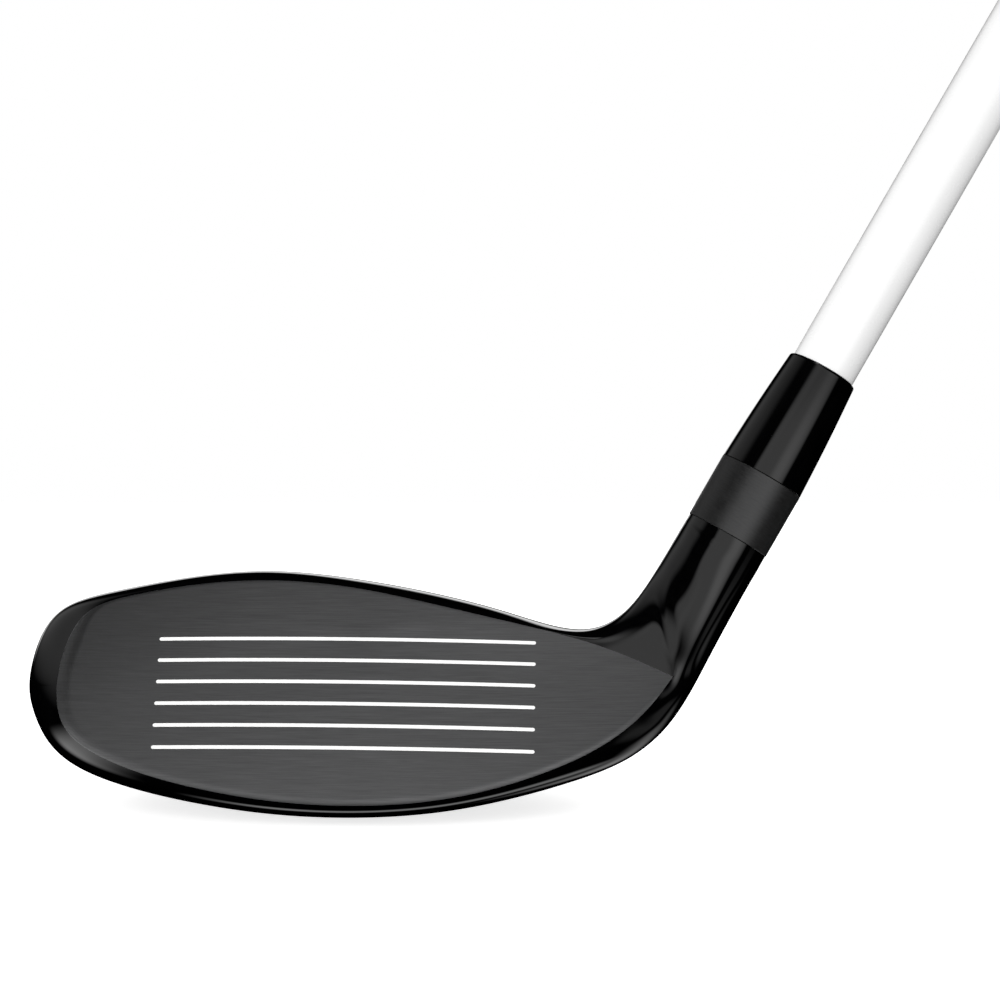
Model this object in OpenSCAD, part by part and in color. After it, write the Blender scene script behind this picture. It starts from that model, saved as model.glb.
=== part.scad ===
// Hybrid golf club, right handed, standing at address.
// +Z is up, the face looks toward -Y, the toe is at -X and the shaft leans toward +X.
// The origin is the point of the sole that rests on the ground, below the middle of the face.

/* [Head] */
// Angle of the face back from vertical, in degrees
loft = 19; // [17:1:22]
// Angle of the shaft above the ground, in degrees
lie = 60; // [59:0.5:61]
// Angle that the face is open to the target line, in degrees
face_open = 2; // [0:0.5:3]
// Radius of the face from toe to heel
bulge_r = 300; // [240:10:400]
// Radius of the face from top to bottom
roll_r = 180; // [150:10:300]
// Thickness of the face plate
face_t = 2.4; // [2:0.1:2.8]
// Thickness of the crown plate
crown_t = 0.9; // [0.8:0.1:1.2]
// Thickness of the cast skirt and sole
wall_t = 1.5; // [1.3:0.1:2]

/* [Score lines] */
// Number of score lines
line_count = 6; // [4:1:7]
// Distance between one score line and the next, along the face
line_pitch = 3.1; // [2.9:0.05:3.2]
// Width of a score line
line_w = 0.5; // [0.4:0.05:0.8]
// Depth of a score line
line_depth = 0.4; // [0.3:0.05:0.5]

/* [Hosel and ferrule] */
// Diameter of the bare band at the top of the hosel
hosel_d = 12.45; // [12.4:0.05:13]
// Diameter of the shaft bore in the hosel
bore_d = 9.55; // [9.5:0.05:9.65]
// Depth of the shaft in the hosel
insert_l = 22; // [20:0.5:22]
// Length of the ferrule
ferrule_l = 17.4; // [14:0.2:22]

/* [Shaft] */
// Length of the club along the shaft, from the ground to the grip's end
club_l = 1022; // [960:1:1060]
// Diameter of the parallel tip of the shaft
tip_d = 9.4; // [9.3:0.05:9.45]
// Diameter of the butt of the shaft
butt_d = 15.2; // [14.7:0.1:15.6]
// Length of the parallel tip of the shaft
tip_l = 130; // [110:5:180]

/* [Grip] */
// Length of the grip
grip_l = 267; // [255:1:275]
// Diameter of the grip's cap
cap_d = 29; // [27:0.5:31]
// Diameter of the air hole in the grip's cap
vent_d = 3.2; // [2.8:0.1:4]

/* [Weight] */
// Diameter of the weight screw's head
weight_d = 12; // [11:0.5:13]
// Width across the flats of its hexagon socket
socket_w = 4; // [3:0.5:5]

/* [Hidden] */
$fn = 64;

// ---- the shaft's line ----
heel_x = 31.5;
axis_dir = [cos(lie), 0, sin(lie)];
axis_out = [-sin(lie), 0, cos(lie)];
band_start = 46;
band_l = 9.8;
band_end = band_start + band_l;
spigot_l = 5;
spigot_d = 10.8;
neck_r = hosel_d / 2 - 0.08;
tip_start = band_end - insert_l;

// A point at distance t along the shaft's line, moved n toward the toe side and y back
function neck(t, n, y) = [heel_x, y, 0] + axis_dir * t + axis_out * n;

// ---- the face ----
face_mid = [0, -7, 17.5];

// How far back the face is at a place on it
function face_y(x, z) = face_mid[1] + (z - face_mid[2]) * tan(loft) - x * tan(face_open)
    + x * x / (2 * bulge_r) + pow(z - face_mid[2], 2) / (2 * roll_r);
function on_face(p) = [p[0], face_y(p[0], p[1]), p[1]];

// ---- the head's rails, from the toe to the hosel, one control point per station ----
// The highest line of the head, over the crown's front and up the inner side of the hosel
top_rail = [[-46.9, 8, 18], [-46.2, 8, 22], [-44.8, 8, 26.2], [-41.5, 8, 30], [-33, 7, 31.9],
            [-22, 6, 34], [-11, 5.5, 34.9], [1, 5.5, 33.5], [12, 5, 31.5], [22, 4, 29.1],
            [30, 2.5, 26.4], [36, 1, 25.9], neck(30, 6.5, 0), neck(36.3, neck_r, 0),
            neck(42, neck_r, 0), neck(band_start, neck_r, 0)];
// The lowest line, along the sole and up the outer side of the hosel
low_rail = [[-46.9, 8, 18], [-46.2, 7.5, 14.5], [-43.6, 6.5, 9.4], [-38.6, 5, 5.9], [-30.5, 3, 3.5],
            [-20.5, 2, 1.5], [-10, 1, 0.2], [1, 0, -0.12], [12, 0, 0.4], [22, 0, 2.1],
            [31.5, 0, 4.6], [40.6, 0, 7.6], neck(19.2, -6.9, 0), neck(29, -6.45, 0),
            neck(38.5, -neck_r, 0), neck(band_start, -neck_r, 0)];
// The rearmost line, round the skirt and up the back of the hosel
rear_rail = [[-46.9, 8, 18], [-46.2, 13, 17.5], [-44, 23, 16.5], [-38, 33, 15], [-29, 41, 14],
             [-19, 46, 13], [-9, 48, 12.5], [2, 48, 12.5], [13, 45, 13], [23, 39, 14],
             [32, 31, 15.5], [39.5, 22, 18], [45, 14, 22], [48.5, 8.5, 27.5],
             neck(40, 0, neck_r), neck(band_start, 0, neck_r)];
// The upper and lower edges of the face, as [x, z], from its toe end to its heel end
face_top = [[-40.8, 18.5], [-40.2, 24], [-37.6, 29.6], [-30, 31.5], [-20.5, 33.1], [-10.5, 33.7],
            [0.5, 32.8], [11, 30.6], [20, 28.5], [27.5, 26.8], [34.8, 24.9], [40.5, 22.8], [46.4, 20.1]];
face_low = [[-40.8, 18.5], [-40, 13], [-35.5, 9.7], [-28.5, 7.1], [-20, 5.1], [-10, 3.5],
            [0.5, 2.9], [11, 3.3], [20, 4.8], [28.5, 7.3], [36, 10.4], [42.3, 14.8], [46.4, 20.1]];
// Stations where the face begins and ends, and where the hosel has become round
face_from = 1;
face_to = 13;
last_station = len(top_rail) - 1;

// ---- curves ----
// Uniform cubic B-spline: the point at station s of a list that has one extra point at each end
function bspline(p, s) = let (i = max(0, min(floor(s), len(p) - 4)), t = s - i)
    (pow(1 - t, 3) * p[i] + (3 * pow(t, 3) - 6 * t * t + 4) * p[i + 1]
    + (-3 * pow(t, 3) + 3 * t * t + 3 * t + 1) * p[i + 2] + pow(t, 3) * p[i + 3]) / 6;
// The extra points: straight on past an end, or mirrored there so that the toe closes round
function beyond(a, b) = 2 * a - b;
function mirrored(a, b) = [b[0], 2 * a[1] - b[1], 2 * a[2] - b[2]];
function open_ends(p) = concat([beyond(p[0], p[1])], p, [beyond(p[len(p) - 1], p[len(p) - 2])]);
function toe_ends(p) = concat([mirrored(p[0], p[1])], p, [beyond(p[len(p) - 1], p[len(p) - 2])]);
function bezier(a, b, c, d, n) = [for (i = [0:n]) let (t = i / n)
    pow(1 - t, 3) * a + 3 * pow(1 - t, 2) * t * b + 3 * (1 - t) * t * t * c + pow(t, 3) * d];
function unit(v) = v / norm(v);
function mix(a, b, w) = a * (1 - w) + b * w;
function ease(a, b, x) = let (t = max(0, min(1, (x - a) / (b - a)))) t * t * (3 - 2 * t);

top_curve = toe_ends(top_rail);
low_curve = toe_ends(low_rail);
rear_curve = toe_ends(rear_rail);
face_top_curve = open_ends(face_top);
face_low_curve = open_ends(face_low);
toe_tip = bspline(top_curve, 0);
face_toe = on_face(face_top[0]);
face_heel = on_face(face_top[len(face_top) - 1]);
neck_front = open_ends([face_heel, neck(35.8, -1, -6), neck(band_start, 0, -neck_r)]);

// Where the front of the head meets the lower and the upper edge of the face at a station.
// Toward the toe and up the neck there is no face, and both are the same point.
function front_low(s) = s <= face_from ? toe_front(s / face_from)
    : s >= face_to ? bspline(neck_front, s - face_to)
    : on_face(bspline(face_low_curve, s - face_from));
function front_top(s) = s <= face_from ? toe_front(s / face_from)
    : s >= face_to ? bspline(neck_front, s - face_to)
    : on_face(bspline(face_top_curve, s - face_from));
function toe_front(t) = [mix(toe_tip[0], face_toe[0], 1 - cos(90 * t)),
    mix(toe_tip[1], face_toe[1], sin(90 * t)), mix(toe_tip[2], face_toe[2], t)];

// ---- one section of the head ----
circle_k = 0.5523;
back = [0, 1, 0];
face_up = unit([0, tan(loft), 1]);
neck_flare = 1.2;
low_n = 4;
face_n = 8;
top_n = 4;
crown_n = 9;
sole_n = 9;

// The direction from the sole to the crown in the section's plane
function section_up(s) = let (d = bspline(top_curve, s) - bspline(low_curve, s))
    unit([d[0], 0, d[2]]);
// How much a section is a round tube, at the toe and toward the hosel
function tube(s) = max(ease(9, 14, s), 1 - ease(0, 3, s));
// The rails with a skin of thickness g taken off
function top_at(s, g) = bspline(top_curve, s) - section_up(s) * g;
function low_at(s, g) = bspline(low_curve, s) + section_up(s) * g;
function rear_at(s, g) = bspline(rear_curve, s) - back * g;

// The front, from the lowest line to the edge of the face, and from there to the highest line
function leading_edge(s, a, low) = let (
    up = unit(mix(mix(section_up(s), face_up, ease(0, face_from + 1.5, s)), section_up(s), ease(10, 14, s))),
    depth = max(low[1] - a[1], 0.5))
    bezier(low, low - back * depth * circle_k,
        a - up * abs((a - low) * section_up(s)) * circle_k, a, low_n);
function top_edge(s, b, top) = let (
    up = mix(mix(section_up(s), face_up, ease(0, face_from + 1.5, s)), section_up(s), ease(10, 14, s)),
    flare = neck_flare * exp(-pow(s - 11.6, 2)) * (1 - ease(12, face_to, s)),
    depth = max(top[1] - b[1], 0.5)
        + 2.5 * ease(face_to - 3, face_to, s) * (1 - ease(face_to - 1, face_to + 1, s)))
    bezier(b, b + unit(up - back * flare) * abs((top - b) * section_up(s)) * circle_k,
        top - back * depth * circle_k, top, top_n);
// The four control points of the crown, from the highest line back, and of the sole, from the rear
function crown_hull(s, g) = let (a = top_at(s, g), d = rear_at(s, g))
    [a, a + back * (d[1] - a[1]) * mix(0.5, circle_k, tube(s)),
     d + section_up(s) * abs((a - d) * section_up(s)) * mix(0.45, circle_k, tube(s)), d];
function sole_hull(s, g) = let (a = rear_at(s, g), d = low_at(s, g))
    [a, a - section_up(s) * abs((a - d) * section_up(s)) * mix(0.6, circle_k, tube(s)),
     d + back * (a[1] - d[1]) * mix(0.62, circle_k, tube(s)), d];

// Points across the face, its edges moved inward by r, at depth f behind the front
function face_row(s, r, f) = let (a = front_low(s) + section_up(s) * r, b = front_top(s) - section_up(s) * r)
    [for (i = [0:face_n]) let (p = mix(a, b, i / face_n))
        (s > face_from && s < face_to ? on_face([p[0], p[2]]) : p) + back * f];

// The neck is never thinner than a core round the shaft's bore, which fades out toward the face
core_r = 5.7;
core_start_r = 3.5;
core_start = 24;
core_full = 33;
core_blend = 0.3;
function core(t) = t < core_start ? 0 : mix(core_start_r, core_r, ease(core_start, core_full, t));
// How much of a gap is filled, starting softly
function filled(gap) = gap < -core_blend ? 0
    : gap > core_blend ? gap : pow(gap + core_blend, 2) / (4 * core_blend);
function with_core(p) = let (
    q = p - [heel_x, 0, 0],
    t = q * axis_dir,
    side = q - axis_dir * t,
    r = max(norm(side), 0.01))
    p + side / r * filled(core(t) - r);

// The closed outline at station s, clockwise seen from the heel, with a skin g taken off
function section(s, g, r, f) = let (
    face = face_row(s, r, f),
    crown = crown_hull(s, g),
    sole = sole_hull(s, g))
    concat(
        leading_edge(s, face[0], low_at(s, g)),
        inner(face),
        top_edge(s, face[face_n], top_at(s, g)),
        tail(bezier(crown[0], crown[1], crown[2], crown[3], crown_n)),
        inner(bezier(sole[0], sole[1], sole[2], sole[3], sole_n)));
function tail(p) = [for (i = [1:len(p) - 1]) p[i]];
function inner(p) = [for (i = [1:len(p) - 2]) p[i]];

// ---- solids from sections ----
function middle(ring) = [for (i = [0:2]) let (v = [for (p = ring) p[i]]) sum(v) / len(ring)];
function sum(v, i = 0) = i == len(v) ? 0 : v[i] + sum(v, i + 1);
// Two triangles for each cell of a grid whose rows have m points
function cells(rows, m, wrap, first, flip) = [for (i = [0:rows - 2], j = [0:m - (wrap ? 1 : 2)])
    let (a = first + i * m + j, b = first + i * m + (j + 1) % m, c = b + m, d = a + m)
    each flip ? [[a, c, b], [a, d, c]] : [[a, b, c], [a, c, d]]];

// A solid through a list of rings, closed at each end by a fan to the given points
module loft_solid(rings, start, finish) {
    m = len(rings[0]);
    n = len(rings);
    polyhedron(
        points = concat([for (r = rings) each r], [start, finish]),
        faces = concat(
            cells(n, m, true, 0, false),
            [for (j = [0:m - 1]) [n * m, (j + 1) % m, j]],
            [for (j = [0:m - 1]) [n * m + 1, (n - 1) * m + j, (n - 1) * m + (j + 1) % m]]),
        convexity = 6);
}

// A plate between an outer grid of points and an inner one
module slab(outer, inner_side) {
    n = len(outer);
    m = len(outer[0]);
    far = n * m;
    polyhedron(
        points = concat([for (r = outer) each r], [for (r = inner_side) each r]),
        faces = concat(
            cells(n, m, false, 0, false),
            cells(n, m, false, far, true),
            [for (i = [0:n - 2]) each [[i * m, (i + 1) * m, far + (i + 1) * m],
                                       [i * m, far + (i + 1) * m, far + i * m]]],
            [for (i = [0:n - 2]) let (a = i * m + m - 1, b = a + m)
                each [[a, far + b, b], [a, far + a, far + b]]],
            [for (j = [0:m - 2]) each [[j, far + j + 1, j + 1], [j, far + j, far + j + 1]]],
            [for (j = [0:m - 2]) let (a = (n - 1) * m + j)
                each [[a, a + 1, far + a + 1], [a, far + a + 1, far + a]]]),
        convexity = 6);
}

// ---- the head casting ----
toe_stations = [0.3, 0.6, 0.9];
face_stations = concat([1.15], [for (s = [1.5:0.5:12.5]) s], [12.8]);
neck_stations = [13.1, 13.5, 14, 14.5, last_station];
head_stations = concat(toe_stations, face_stations, neck_stations);
cavity_stations = [for (s = [2.25:0.75:10.5]) s];

module head_outside() {
    rings = [for (s = head_stations) [for (p = section(s, 0, 0, 0)) with_core(p)]];
    loft_solid(rings, toe_tip, neck(band_start, 0, 0));
}

// The hollow of the head. It breaks through behind the face plate and leaves a ledge round it.
module head_cavity() {
    rings = [for (s = cavity_stations) section(s, wall_t, face_ledge, face_t - 0.4)];
    loft_solid(rings, middle(rings[0]), middle(rings[len(rings) - 1]));
}
face_ledge = 1.8;

// The face plate's edge lies just inside the edge of the face
face_rim = 0.15;
plate_stations = concat([1.3], [for (s = [1.75:0.5:12.25]) s], [12.7]);

// The part of the face between depths d0 and d1 behind its front
module face_layer(d0, d1) {
    slab([for (s = plate_stations) face_row(s, face_rim, d0)],
         [for (s = plate_stations) face_row(s, face_rim, d1)]);
}

// The part of the crown between depths d0 and d1, its edges moved inward by r stations
module crown_layer(d0, d1, r) {
    slab(crown_grid(d0, r), crown_grid(d1, r));
}
crown_ends = [2.7, 10.2];
crown_steps = 15;
crown_edges = [0.05, 0.8];
function crown_grid(d, r) = [for (i = [0:crown_steps]) let (
    s = mix(crown_ends[0] + r, crown_ends[1] - r, i / crown_steps),
    hull_points = crown_hull(s, 0),
    line = bezier(hull_points[0], hull_points[1], hull_points[2], hull_points[3], 50))
    [for (j = [0:7]) line[round(50 * mix(crown_edges[0] + r / 12, crown_edges[1] - r / 12, j / 7))]
        - section_up(s) * d]];

// Joins faceted shapes into one mesh
module one_mesh() {
    resize([0, 0, 0]) children();
}

weight_at = [-3, 35.5, 3.5];
weight_lean = 14;
weight_head_l = 3;
weight_shank_d = 7;
weight_shank_l = 6;
weight_boss_d = 15;
gasket_t = 0.5;

// Places its children on the weight's line, which points down and back out of the sole
module at_weight() {
    translate(weight_at) rotate([180 + weight_lean, 0, 0]) children();
}

// Ledge round the crown plate, in stations
crown_ledge = 0.4;

module head_casting() {
    difference() {
        head_outside();
        difference() {
            head_cavity();
            at_weight() translate([0, 0, -weight_shank_l - weight_head_l - 2])
                cylinder(d = weight_boss_d, h = 20, $fn = 32);
        }
        face_layer(-3, face_t);
        crown_layer(-3, crown_t, 0);
        crown_layer(-3, 4, crown_ledge);
        along_shaft(band_start - spigot_l) cylinder(d = spigot_d, h = 20, $fn = 60);
        along_shaft(tip_start - plug_l) cylinder(d = bore_d, h = 30);
        at_weight() translate([0, 0, -weight_head_l]) cylinder(d = weight_d + 0.4, h = 20);
        at_weight() translate([0, 0, -weight_head_l - weight_shank_l])
            cylinder(d = weight_shank_d, h = 20, $fn = 32);
    }
}

module head_body() {
    color([0.06, 0.06, 0.065]) one_mesh() head_casting();
}

// The turned sleeve at the top of the hosel: a bare band that stands on the neck, and a spigot in it
module hosel_sleeve() {
    color([0.3, 0.3, 0.31]) difference() {
        union() {
            along_shaft(band_start) cylinder(d = hosel_d, h = band_l);
            along_shaft(band_start - spigot_l) cylinder(d = spigot_d, h = spigot_l);
        }
        along_shaft(band_start - 2 * spigot_l) cylinder(d = bore_d, h = 60);
    }
}

// Places its children on the shaft's line, t from the ground, with +Z toward the grip
module along_shaft(t) {
    translate([heel_x, 0, 0]) rotate([0, 90 - lie, 0]) translate([0, 0, t]) children();
}

module crown_plate() {
    color([0.05, 0.05, 0.055]) one_mesh() crown_layer(0, crown_t, 0);
}

// ---- the face and its score lines, which are milled square to the face ----
line_from = -26;
line_to = 26.75;
line_mid = 0.65;
line_tilt = 1.1;

module score_line_shapes() {
    translate(face_mid) rotate([-loft, 0, 0]) rotate([0, line_tilt, 0])
        for (i = [0:line_count - 1])
            translate([0, 0, line_mid + (i - (line_count - 1) / 2) * line_pitch]) rotate([90, 0, 0])
                linear_extrude(height = 40, center = true) hull() {
                    translate([line_from, 0]) circle(d = line_w, $fn = 16);
                    translate([line_to, 0]) circle(d = line_w, $fn = 16);
                }
}

module face_plate() {
    color([0.27, 0.27, 0.28]) one_mesh() difference() {
        face_layer(0, face_t);
        intersection() {
            score_line_shapes();
            face_layer(-1, line_depth);
        }
    }
}

module score_line_paint() {
    color("white") one_mesh() intersection() {
        score_line_shapes();
        face_layer(0.03, line_depth);
    }
}

// ---- the weight in the sole, and what is glued inside the head ----
module weight_screw() {
    color([0.55, 0.55, 0.57]) at_weight() difference() {
        union() {
            translate([0, 0, -weight_head_l + gasket_t]) cylinder(d = weight_d, h = weight_head_l - gasket_t);
            translate([0, 0, -weight_head_l - weight_shank_l + 0.5])
                cylinder(d = weight_shank_d, h = weight_shank_l);
        }
        translate([0, 0, -2]) cylinder(d = socket_w / cos(30), h = 10, $fn = 6);
    }
}

module weight_gasket() {
    color([0.1, 0.1, 0.1]) at_weight() translate([0, 0, -weight_head_l]) difference() {
        cylinder(d = weight_d, h = gasket_t);
        translate([0, 0, -1]) cylinder(d = weight_shank_d, h = 10);
    }
}

// The bar between the middles of its round ends, its width, and its height above the ground
bar_l = 36;
bar_w = 13;
bar_top = 5.5;

module sole_weight_bar() {
    color([0.35, 0.36, 0.38]) one_mesh() intersection() {
        head_cavity();
        translate([2, 20, 0]) hull() for (x = [-bar_l / 2, bar_l / 2])
            translate([x, 0, 0]) cylinder(d = bar_w, h = bar_top, $fn = 24);
    }
}

dab_d = 11;

module hot_melt_dab() {
    color([0.85, 0.75, 0.45]) one_mesh() intersection() {
        head_cavity();
        translate([-27, 11, 4]) scale([1, 1, 0.6]) sphere(d = dab_d, $fn = 24);
    }
}

// ---- the joint between head and shaft ----
plug_l = 1.5;
bond_gap = (bore_d - tip_d) / 2;

module hosel_plug() {
    color([0.7, 0.6, 0.4]) along_shaft(tip_start - plug_l) cylinder(d = bore_d, h = plug_l);
}

module shaft_bond() {
    color([0.8, 0.8, 0.7]) along_shaft(tip_start) difference() {
        cylinder(d = bore_d, h = insert_l);
        translate([0, 0, -1]) cylinder(d = tip_d, h = insert_l + 2);
    }
}

ferrule_top_d = 10.36;
ferrule_lip_r = 0.4;
ferrule_start = band_end;

module ferrule() {
    r0 = hosel_d / 2;
    r1 = ferrule_top_d / 2;
    color([0.03, 0.03, 0.03]) along_shaft(ferrule_start) rotate_extrude() polygon(concat(
        [[tip_d / 2, 0], [r0, 0]],
        [for (i = [1:7]) let (t = i / 8) [mix(r0, r1, t) + 0.1 * sin(180 * t), (ferrule_l - ferrule_lip_r) * t]],
        [for (a = [0:15:90]) [r1 - ferrule_lip_r + ferrule_lip_r * cos(a),
                              ferrule_l - ferrule_lip_r + ferrule_lip_r * sin(a)]],
        [[tip_d / 2, ferrule_l]]));
}

// ---- the shaft ----
cap_t = 5;
// Length of the grip's mouth that lies on the tapered shaft, below the tape
grip_lap = 20;
shaft_end = club_l - cap_t;
grip_start = club_l - grip_l;
tip_bore_d = 4;
pin_l = 18;
butt_wall = 1.4;

module shaft() {
    color([0.95, 0.95, 0.95]) along_shaft(0) rotate_extrude() polygon([
        [tip_bore_d / 2, tip_start], [tip_d / 2, tip_start], [tip_d / 2, tip_start + tip_l],
        [butt_d / 2, grip_start + grip_lap], [butt_d / 2, shaft_end], [butt_d / 2 - butt_wall, shaft_end],
        [butt_d / 2 - butt_wall, grip_start + grip_lap], [tip_d / 2 - 2, tip_start + tip_l],
        [tip_bore_d / 2, tip_start + 60]]);
}

module tip_weight_pin() {
    color([0.72, 0.6, 0.3]) along_shaft(tip_start) cylinder(d = tip_bore_d, h = pin_l);
}

// ---- the grip ----
tape_t = 0.2;
cap_edge_r = 1.8;
// Outside of the grip as [radius, distance from its mouth] at the standard lengths
grip_profile = [[9.6, 0], [10, 1.5], [9.8, 4], [9.5, 7], [9.9, 70], [10.6, 140], [11.6, 200],
                [12.6, 240], [13.3, 254], [cap_d / 2 - 0.3, 260], [cap_d / 2, 262]];
// Radius of the shaft at distance t, between its parallel tip and its butt
function shaft_r(t) = mix(tip_d, butt_d, (t - tip_start - tip_l) / (grip_start + grip_lap - tip_start - tip_l)) / 2;

module grip_tape() {
    color([0.85, 0.82, 0.7]) along_shaft(0) difference() {
        translate([0, 0, grip_start + grip_lap])
            cylinder(d = butt_d + 2 * tape_t, h = shaft_end - grip_start - grip_lap);
        translate([0, 0, grip_start]) cylinder(d = butt_d, h = grip_l + 20);
    }
}

module grip_sleeve() {
    k = (grip_l - cap_t) / 262;
    color([0.08, 0.08, 0.08]) along_shaft(grip_start) rotate_extrude() polygon(concat(
        [[shaft_r(grip_start), 0]],
        [for (p = grip_profile) [p[0], p[1] * k]],
        [[butt_d / 2 + tape_t, grip_l - cap_t], [butt_d / 2 + tape_t, grip_lap], [butt_d / 2, grip_lap]]));
}

module grip_cap() {
    r = cap_d / 2 - cap_edge_r;
    color([0.1, 0.1, 0.1]) along_shaft(club_l - cap_t) difference() {
        rotate_extrude() polygon(concat([[0, 0], [cap_d / 2, 0]],
            [for (a = [0:15:90]) [r + cap_edge_r * cos(a), cap_t - cap_edge_r + cap_edge_r * sin(a)]],
            [[0, cap_t]]));
        translate([0, 0, -1]) cylinder(d = vent_d, h = cap_t + 2);
    }
}

head_body();
crown_plate();
face_plate();
score_line_paint();
weight_screw();
weight_gasket();
sole_weight_bar();
hot_melt_dab();
hosel_sleeve();
hosel_plug();
shaft_bond();
ferrule();
shaft();
tip_weight_pin();
grip_tape();
grip_sleeve();
grip_cap();
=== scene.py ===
"""Hybrid golf club: the looks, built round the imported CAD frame.

Metres, +Z up, the face toward -Y and the toe at -X. Shapes are worked out in mm and end up in metres.
"""

import math

import bmesh
import bpy
import numpy as np
from mathutils import Matrix, Vector


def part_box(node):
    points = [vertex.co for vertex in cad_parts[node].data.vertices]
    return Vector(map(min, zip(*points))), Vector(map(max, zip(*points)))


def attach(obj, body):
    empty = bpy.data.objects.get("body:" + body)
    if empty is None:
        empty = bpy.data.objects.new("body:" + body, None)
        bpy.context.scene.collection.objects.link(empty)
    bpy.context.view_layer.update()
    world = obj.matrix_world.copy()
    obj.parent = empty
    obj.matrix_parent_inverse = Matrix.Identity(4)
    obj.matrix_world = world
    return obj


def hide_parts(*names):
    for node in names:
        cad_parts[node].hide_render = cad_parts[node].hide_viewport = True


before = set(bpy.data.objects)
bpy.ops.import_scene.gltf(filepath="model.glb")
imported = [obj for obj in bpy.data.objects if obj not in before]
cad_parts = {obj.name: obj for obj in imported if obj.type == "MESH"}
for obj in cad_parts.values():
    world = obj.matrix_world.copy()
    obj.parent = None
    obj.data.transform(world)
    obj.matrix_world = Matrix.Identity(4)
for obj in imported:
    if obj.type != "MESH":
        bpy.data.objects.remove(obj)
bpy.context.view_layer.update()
MM = 0.001     # metres in a millimetre
BODY = "root"

# ---------------------------------------------------------------- the shaft's line, from the frame
def middle(node):
    low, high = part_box(node)
    return (low + high) / 2


def radius(node):
    """Outer radius in mm of a node that is round about the shaft's line."""
    low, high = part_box(node)
    return (high.y - low.y) / 2 / MM


AXIS = (middle("grip_cap") - middle("hosel_plug")).normalized()
GROUND = middle("hosel_plug") - AXIS * (middle("hosel_plug").z / AXIS.z)
OUT = Vector((-AXIS.z, 0, AXIS.x))
AXIS_MM = np.array(AXIS)
OUT_MM = np.array(OUT)
GROUND_MM = np.array(GROUND) / MM


def on_axis(node):
    """(distance along, distance from) the shaft's line in mm, for each vertex of a node."""
    co = np.array([v.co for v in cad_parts[node].data.vertices]) / MM - GROUND_MM
    t = co @ AXIS_MM
    return t, np.linalg.norm(co - np.outer(t, AXIS_MM), axis=1)


HOSEL_R = radius("hosel_sleeve")
BAND_END = on_axis("hosel_sleeve")[0].max()
BAND_START = on_axis("hosel_sleeve")[0][on_axis("hosel_sleeve")[1] > HOSEL_R - 0.1].min()
NECK_R = HOSEL_R - 0.08     # the paint stops a little inside the bare band


def neck(t, n, y):
    """A point t along the shaft's line, n toward the toe side of it and y behind it."""
    return GROUND_MM + AXIS_MM * t + OUT_MM * n + np.array([0, y, 0])


# ---------------------------------------------------------------- the head's lines, as in the CAD source
LOFT = math.radians(19)
FACE_OPEN = math.radians(2)
BULGE_R = 300
ROLL_R = 180
FACE_MID = (0, -7, 17.5)
FACE_FROM = 0       # stations where the face begins, at the toe, and ends, at the heel
FACE_TO = 13
CIRCLE = 0.5523     # handle of a Bezier curve that draws a quarter circle
NEAR = 0.001        # step that takes a direction along a curve, in stations

# The head's highest, lowest and rearmost lines, with one control point per station from the toe up the neck
TOP_RAIL = [(-46.9, 8, 18), (-46.2, 8, 22), (-44.8, 8, 26.2), (-41.5, 8, 30), (-33, 7, 31.9),
            (-22, 6, 34), (-11, 5.5, 34.9), (1, 5.5, 33.5), (12, 5, 31.5), (22, 4, 29.1),
            (30, 2.5, 26.4), (36, 1, 25.9), neck(30, 6.5, 0), neck(36.3, NECK_R, 0),
            neck(42, NECK_R, 0), neck(BAND_START, NECK_R, 0)]
LOW_RAIL = [(-46.9, 8, 18), (-46.2, 7.5, 14.5), (-43.6, 6.5, 9.4), (-38.6, 5, 5.9), (-30.5, 3, 3.5),
            (-20.5, 2, 1.5), (-10, 1, 0.2), (1, 0, -0.12), (12, 0, 0.4), (22, 0, 2.1),
            (31.5, 0, 4.6), (40.6, 0, 7.6), neck(19.2, -6.9, 0), neck(29, -6.45, 0),
            neck(38.5, -NECK_R, 0), neck(BAND_START, -NECK_R, 0)]
REAR_RAIL = [(-46.9, 8, 18), (-46.2, 13, 17.5), (-44, 23, 16.5), (-38, 33, 15), (-29, 41, 14),
             (-19, 46, 13), (-9, 48, 12.5), (2, 48, 12.5), (13, 45, 13), (23, 39, 14),
             (32, 31, 15.5), (39.5, 22, 18), (45, 14, 22), (48.5, 8.5, 27.5),
             neck(40, 0, NECK_R), neck(BAND_START, 0, NECK_R)]
# The upper and lower edges of the face as (x, z), from its toe end to its heel end
FACE_TOP = [(-41.1, 18.5), (-40.2, 24), (-37.6, 29.6), (-30, 31.5), (-20.5, 33.1), (-10.5, 33.7),
            (0.5, 32.8), (11, 30.6), (20, 28.5), (27.5, 26.8), (34.8, 24.9), (40.5, 22.8), (46.4, 20.1)]
FACE_LOW = [(-41.1, 18.5), (-40, 13), (-35.5, 9.7), (-28.5, 7.1), (-20, 5.1), (-10, 3.5),
            (0.5, 2.9), (11, 3.3), (20, 4.8), (28.5, 7.3), (36, 10.4), (42.3, 14.8), (46.4, 20.1)]
LAST = len(TOP_RAIL) - 1
BACK = np.array([0.0, 1.0, 0.0])


def unit(v):
    return v / np.linalg.norm(v)


def mix(a, b, w):
    return a * (1 - w) + b * w


def ease(a, b, x):
    """Goes smoothly from 0 at a to 1 at b."""
    t = np.clip((x - a) / (b - a), 0, 1)
    return t * t * (3 - 2 * t)


def bspline(p, s):
    """The point at station s of a uniform cubic B-spline, whose list has one extra point at each end."""
    i = int(max(0, min(math.floor(s), len(p) - 4)))
    t = s - i
    return ((1 - t) ** 3 * p[i] + (3 * t ** 3 - 6 * t * t + 4) * p[i + 1]
            + (-3 * t ** 3 + 3 * t * t + 3 * t + 1) * p[i + 2] + t ** 3 * p[i + 3]) / 6


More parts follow.
